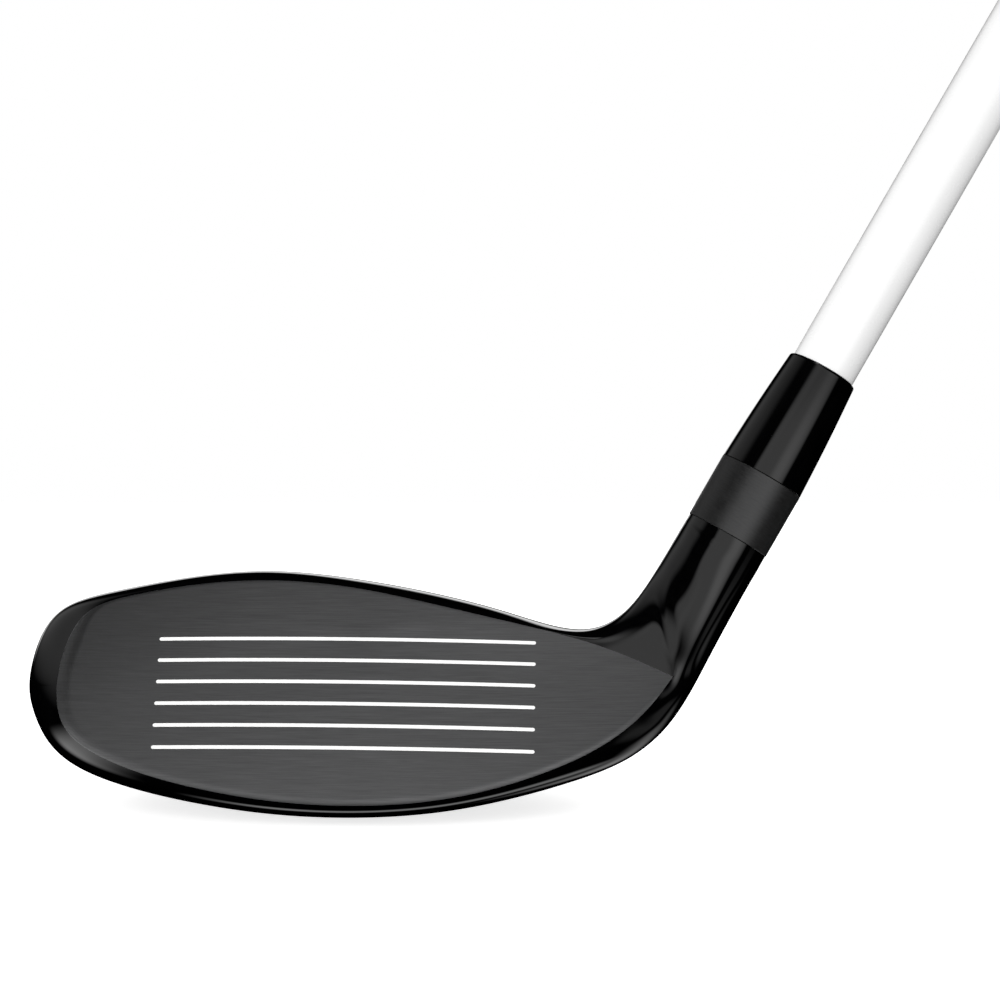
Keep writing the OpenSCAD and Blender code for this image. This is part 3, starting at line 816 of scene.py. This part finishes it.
cap_t, cap_r = on_axis("grip_cap")
CAP_L = cap_t.max() - cap_t.min()
CAP_R = cap_r.max()
VENT_R = cap_r.min()
CAP_ROUND = 1.8
# A rounded rim, a ring groove, and a shallow dish round the air hole
cap_outline = [(VENT_R, 0), (CAP_R - 0.3, 0), (CAP_R, 0.3)]
cap_outline += arc(CAP_R - CAP_ROUND, CAP_L - CAP_ROUND, CAP_ROUND, 0, 90, 12)
cap_outline += [(CAP_R - 3.4, CAP_L), (CAP_R - 3.7, CAP_L - 0.35), (CAP_R - 4.5, CAP_L - 0.35)]
cap_outline += [(CAP_R - 4.8, CAP_L), (4.2, CAP_L), (3.9, CAP_L - 0.3), (VENT_R + 0.5, CAP_L - 0.3)]
cap_outline += [(VENT_R, CAP_L - 0.6)]
grip_button = turned("grip_button", cap_outline, place(cap_t.min()))

# ---------------------------------------------------------------- materials
NOISE_LOW, NOISE_HIGH = 0.3, 0.7     # the range in which nearly all of a noise lies


class Shader:
    """A node material with a principled shader, in object coordinates."""

    def __init__(self, name, **values):
        self.material = bpy.data.materials.new(name)
        self.material.use_nodes = True
        self.tree = self.material.node_tree
        self.shader = self.tree.nodes["Principled BSDF"]
        self.coords = self.tree.nodes.new("ShaderNodeTexCoord")
        for key, value in values.items():
            self.shader.inputs[key.replace("_", " ")].default_value = value

    def node(self, kind):
        return self.tree.nodes.new(kind)

    def link(self, out, into):
        self.tree.links.new(out, into)

    def noise(self, scale, detail, rough=0.6, offset=(0, 0, 0)):
        """Noise stretched by three scales, in features per metre."""
        mapping = self.node("ShaderNodeMapping")
        mapping.inputs["Scale"].default_value = scale
        mapping.inputs["Location"].default_value = offset
        self.link(self.coords.outputs["Object"], mapping.inputs["Vector"])
        tex = self.node("ShaderNodeTexNoise")
        tex.inputs["Scale"].default_value = 1
        tex.inputs["Detail"].default_value = detail
        tex.inputs["Roughness"].default_value = rough
        self.link(mapping.outputs["Vector"], tex.inputs["Vector"])
        return tex.outputs["Fac"]

    def span(self, value, low, high):
        """Stretches a noise to run from low to high."""
        n = self.node("ShaderNodeMapRange")
        n.inputs["From Min"].default_value = NOISE_LOW
        n.inputs["From Max"].default_value = NOISE_HIGH
        n.inputs["To Min"].default_value = low
        n.inputs["To Max"].default_value = high
        self.link(value, n.inputs["Value"])
        return n.outputs["Result"]

    def tint(self, value, dark, light):
        """Base colour between two colours, by a noise."""
        n = self.node("ShaderNodeMix")
        n.data_type = "RGBA"
        n.inputs[6].default_value = (*dark, 1)
        n.inputs[7].default_value = (*light, 1)
        self.link(self.span(value, 0, 1), n.inputs[0])
        self.link(n.outputs[2], self.shader.inputs["Base Color"])

    def rough(self, value, low, high):
        """Roughness between two values, by a noise."""
        self.link(self.span(value, low, high), self.shader.inputs["Roughness"])

    def bump(self, value, depth, strength):
        """Fine relief by a noise, with its depth in metres."""
        n = self.node("ShaderNodeBump")
        n.inputs["Strength"].default_value = strength
        n.inputs["Distance"].default_value = depth
        self.link(value, n.inputs["Height"])
        self.link(n.outputs["Normal"], self.shader.inputs["Normal"])


def gloss_black():
    """Gloss black paint of the casting and the crown."""
    s = Shader("gloss_black_paint", Metallic=0.0, IOR=1.5)
    s.tint(s.noise((900, 900, 900), 2), (0.0004, 0.0004, 0.0005), (0.001, 0.001, 0.0011))
    s.rough(s.noise((260, 260, 260), 3), 0.035, 0.06)
    s.bump(s.noise((420, 420, 420), 2), 0.000004, 0.25)
    return s.material


def brushed_face():
    """Dark steel with a fine grain along the face."""
    s = Shader("brushed_face", Metallic=1.0, Anisotropic=0.3)
    grain = s.noise((190, 190, 8200), 4, 0.7)
    s.tint(grain, (0.15, 0.151, 0.153), (0.2, 0.201, 0.204))
    s.rough(s.noise((120, 120, 5200), 3, 0.6, (3, 1, 2)), 0.42, 0.54)
    s.bump(grain, 0.000006, 0.25)
    return s.material


def satin_band():
    """Bare steel with the fine turned grain of the band."""
    s = Shader("satin_band", Metallic=1.0)
    grain = s.noise((700, 700, 5000), 4, 0.65)
    s.tint(grain, (0.078, 0.0783, 0.079), (0.112, 0.1124, 0.1135))
    s.rough(grain, 0.42, 0.54)
    s.bump(grain, 0.000008, 0.3)
    return s.material


def white_paint():
    """The shaft's paint, with a thin clear coat."""
    s = Shader("white_shaft_paint", IOR=1.5, Coat_Weight=0.4, Coat_Roughness=0.08)
    s.tint(s.noise((300, 300, 60), 2), (0.86, 0.86, 0.86), (0.89, 0.89, 0.89))
    s.rough(s.noise((500, 500, 500), 2), 0.22, 0.3)
    s.bump(s.noise((1300, 1300, 1300), 2), 0.000004, 0.3)
    return s.material


def line_paint():
    """Matt white fill of the score lines."""
    s = Shader("line_paint", IOR=1.45)
    s.tint(s.noise((800, 800, 800), 2), (0.86, 0.86, 0.85), (0.93, 0.93, 0.92))
    s.rough(s.noise((2500, 2500, 2500), 2), 0.45, 0.6)
    s.bump(s.noise((3000, 3000, 3000), 2), 0.00001, 0.3)
    return s.material


def gloss_plastic():
    """The ferrule, polished round the shaft's line."""
    s = Shader("ferrule_plastic", IOR=1.49)
    s.tint(s.noise((700, 700, 200), 2), (0.0004, 0.0004, 0.0005), (0.001, 0.001, 0.0011))
    s.rough(s.noise((300, 300, 1200), 3), 0.04, 0.085)
    s.bump(s.noise((180, 180, 1500), 3), 0.000005, 0.25)
    return s.material


def rubber():
    """Dull black rubber with a fine tooth."""
    s = Shader("grip_rubber_compound", IOR=1.5)
    s.tint(s.noise((500, 500, 500), 4), (0.012, 0.012, 0.0125), (0.026, 0.026, 0.027))
    s.rough(s.noise((900, 900, 900), 3), 0.62, 0.82)
    s.bump(s.noise((5200, 5200, 5200), 4), 0.00006, 0.5)
    return s.material


def machined(name, dark, light):
    """A metal with a fine even grain."""
    s = Shader(name, Metallic=1.0)
    grain = s.noise((2600, 2600, 2600), 4)
    s.tint(grain, dark, light)
    s.rough(s.noise((1400, 1400, 1400), 3), 0.22, 0.36)
    s.bump(grain, 0.00001, 0.25)
    return s.material


def soft_stuff(name, dark, light, scale):
    """A dull material with a grain of scale features per metre."""
    s = Shader(name)
    grain = s.noise((scale, scale, scale), 4)
    s.tint(grain, dark, light)
    s.rough(s.noise((scale / 2, scale / 2, scale / 2), 3), 0.55, 0.8)
    s.bump(grain, 0.00005, 0.5)
    return s.material


def paint(obj, material):
    obj.data.materials.clear()
    obj.data.materials.append(material)


# Each piece, its look, its slot and the CAD node that it stands for
black, rubber_black = gloss_black(), rubber()
screw_steel = machined("screw_steel", (0.34, 0.34, 0.35), (0.46, 0.46, 0.47))
PIECES = [
    (head_shell, black, "gloss_black", "head_body"),
    (crown_skin, black, "gloss_black", "crown_plate"),
    (face_insert, brushed_face(), "brushed_steel", "face_plate"),
    (score_lines, line_paint(), "line_paint", "score_line_paint"),
    (weight_bolt, screw_steel, "screw_steel", "weight_screw"),
    (hosel_band, satin_band(), "bare_steel", "hosel_sleeve"),
    (ferrule_collar, gloss_plastic(), "ferrule_black", "ferrule"),
    (shaft_tube, white_paint(), "shaft_white", "shaft"),
    (grip_rubber, rubber_black, "grip_rubber", "grip_sleeve"),
    (grip_button, rubber_black, "grip_rubber", "grip_cap"),
]
for piece, look, slot, node in PIECES:
    paint(piece, look)
    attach(piece, BODY)
    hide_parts(node)

# The CAD nodes that are shown as they are, all of them inside
HIDDEN_LOOKS = {
    "weight_gasket": soft_stuff("gasket_rubber", (0.02, 0.02, 0.02), (0.04, 0.04, 0.04), 2500),
    "sole_weight_bar": machined("dense_weight", (0.24, 0.24, 0.25), (0.34, 0.34, 0.35)),
    "hot_melt_dab": soft_stuff("hot_melt_glue", (0.62, 0.5, 0.22), (0.8, 0.68, 0.36), 400),
    "hosel_plug": soft_stuff("cork", (0.34, 0.21, 0.1), (0.6, 0.42, 0.24), 1200),
    "shaft_bond": soft_stuff("epoxy_film", (0.6, 0.6, 0.5), (0.72, 0.72, 0.64), 900),
    "tip_weight_pin": machined("pin_brass", (0.6, 0.42, 0.16), (0.76, 0.56, 0.25)),
    "grip_tape": soft_stuff("grip_tape_paper", (0.68, 0.63, 0.5), (0.84, 0.8, 0.68), 1800),
}
for node, look in HIDDEN_LOOKS.items():
    paint(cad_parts[node], look)

# ---------------------------------------------------------------- camera, level, in front of the face
CAMERA_AT = (0.0221, -0.273, 0.0449)
LENS = 68.9
camera_data = bpy.data.cameras.new("camera")
camera_data.lens = LENS
camera_data.sensor_width = 36
camera_data.clip_start = 0.01
camera_data.clip_end = 50
camera = bpy.data.objects.new("camera", camera_data)
bpy.context.scene.collection.objects.link(camera)
camera.location = CAMERA_AT
camera.rotation_euler = (math.pi / 2, 0, 0)
bpy.context.scene.camera = camera
bpy.context.scene.view_settings.view_transform = "Standard"

# ---------------------------------------------------------------- floor and light
FLOOR_REACH = 30000.0       # mm each way
FLOOR_Z = -0.3
FLOOR_TILES = 12
FLOOR_GLOW = 0.75           # brings the lit floor up to the photo's plain white
floor_mesh = Mesh()
ticks = np.linspace(-FLOOR_REACH, FLOOR_REACH, FLOOR_TILES + 1)
floor_mesh.grid([[(x, y, FLOOR_Z) for y in ticks] for x in ticks])
floor = floor_mesh.object("floor")
floor_look = Shader("pale_floor")
floor_look.tint(floor_look.noise((30, 30, 30), 2), (0.87, 0.87, 0.87), (0.89, 0.89, 0.89))
floor_look.rough(floor_look.noise((60, 60, 60), 2), 0.8, 0.9)
floor_look.shader.inputs["Emission Color"].default_value = (1, 1, 1, 1)
floor_look.shader.inputs["Emission Strength"].default_value = FLOOR_GLOW
paint(floor, floor_look.material)
floor.visible_glossy = False
floor.visible_diffuse = False

LAMPS_AIM = (0.01, 0, 0.03)


def lamp(name, kind, at, power, size):
    """A soft light for the matt surfaces; what the gloss shows comes from the boxes in the world."""
    data = bpy.data.lights.new(name, kind)
    data.energy = power
    if kind == "SUN":
        data.angle = size
    else:
        data.size = size
    obj = bpy.data.objects.new(name, data)
    obj.location = at
    obj.rotation_euler = (Vector(LAMPS_AIM) - Vector(at)).to_track_quat("-Z", "Y").to_euler()
    obj.visible_camera = False
    obj.visible_glossy = False
    bpy.context.scene.collection.objects.link(obj)


lamp("overhead", "SUN", (0.01, 0, 1.5), 1.0, math.radians(120))
lamp("front_fill", "AREA", (-0.25, -1.55, 0.5), 16, 1.0)

AMBIENT = 0.62      # the even light from all round on matt surfaces

# The studio's soft boxes, seen only by glossy surfaces. In degrees: azimuth from the camera's side toward the
# heel, height, half width, half height and roll. Then the softness of the edge and the level.
STUDIO = [
    ("front", 8, -4, 42, 20, -28, 0.16, 0.95),
    ("front_bright", 25, -13, 13, 14, -28, 0.18, 0.75),
    ("front_right", 76, -32, 9, 5, -9, 0.07, 0.25),
    ("front_high", 0, 42, 13, 15, 0, 0.22, 1.05),
    ("toe_side", -108, 30, 30, 17, 0, 0.25, 0.42),
    ("toe_low", -86, -30, 24, 13, 20, 0.2, 2.0),
    ("heel_low", 132, -42, 24, 5, 0, 0.14, 0.9),
    ("under", 166, -64, 24, 5, 0, 0.12, 1.4),
    ("high_strip", 62, 74, 20, 3, 0, 0.05, 2.2),
    ("back", 180, 8, 40, 4, 0, 0.05, 1.1),
    ("neck_web", -46, -14, 26, 10, -8, 0.16, 0.9),
]

world = bpy.data.worlds.new("studio")
bpy.context.scene.world = world
world.use_nodes = True
wt = world.node_tree


def sky(kind, inputs, **values):
    """A node of the world: each input is an output to link, a value, or None to leave it."""
    n = wt.nodes.new(kind)
    for key, value in values.items():
        setattr(n, key, value)
    for k, value in enumerate(inputs):
        if hasattr(value, "is_output"):
            wt.links.new(value, n.inputs[k])
        elif value is not None:
            n.inputs[k].default_value = value
    return n.outputs[1] if kind == "ShaderNodeVectorMath" else n.outputs[0]


def fade(value, full, none):
    """Goes smoothly from 1 at full to 0 at none."""
    return sky("ShaderNodeMapRange", [value, full, none, 1, 0], interpolation_type="SMOOTHSTEP")


def studio_box(direction, azimuth, height, half_w, half_h, roll, soft, level):
    """A soft-edged box of light seen in one direction of the world."""
    a, e = math.radians(azimuth), math.radians(height)
    ahead = Vector((math.sin(a) * math.cos(e), -math.cos(a) * math.cos(e), math.sin(e)))
    turn = Matrix.Rotation(math.radians(roll), 3, ahead)
    right = turn @ Vector((math.cos(a), math.sin(a), 0))
    up = turn @ ahead.cross(Vector((math.cos(a), math.sin(a), 0)))
    depth = sky("ShaderNodeVectorMath", [direction, ahead], operation="DOT_PRODUCT")
    total = fade(depth, 0.1, 0.0)       # nothing behind it
    for axis, half in ((right, half_w), (up, half_h)):
        along = sky("ShaderNodeVectorMath", [direction, axis], operation="DOT_PRODUCT")
        ratio = sky("ShaderNodeMath", [along, depth], operation="DIVIDE")
        size = sky("ShaderNodeMath", [ratio], operation="ABSOLUTE")
        limit = math.tan(math.radians(half))
        side = fade(size, max(limit - soft, 0), limit + soft)
        total = sky("ShaderNodeMath", [total, side], operation="MULTIPLY")
    return sky("ShaderNodeMath", [total, level], operation="MULTIPLY")


direction = wt.nodes.new("ShaderNodeTexCoord").outputs["Generated"]
boxes = 0.0
for name, *shape in STUDIO:
    boxes = sky("ShaderNodeMath", [boxes, studio_box(direction, *shape)], operation="ADD")
rays = wt.nodes.new("ShaderNodeLightPath")
seen = sky("ShaderNodeMix", [rays.outputs["Is Glossy Ray"], None, AMBIENT, boxes])
seen = sky("ShaderNodeMix", [rays.outputs["Is Camera Ray"], None, seen, 1.0])
wt.links.new(seen, wt.nodes["Background"].inputs["Color"])
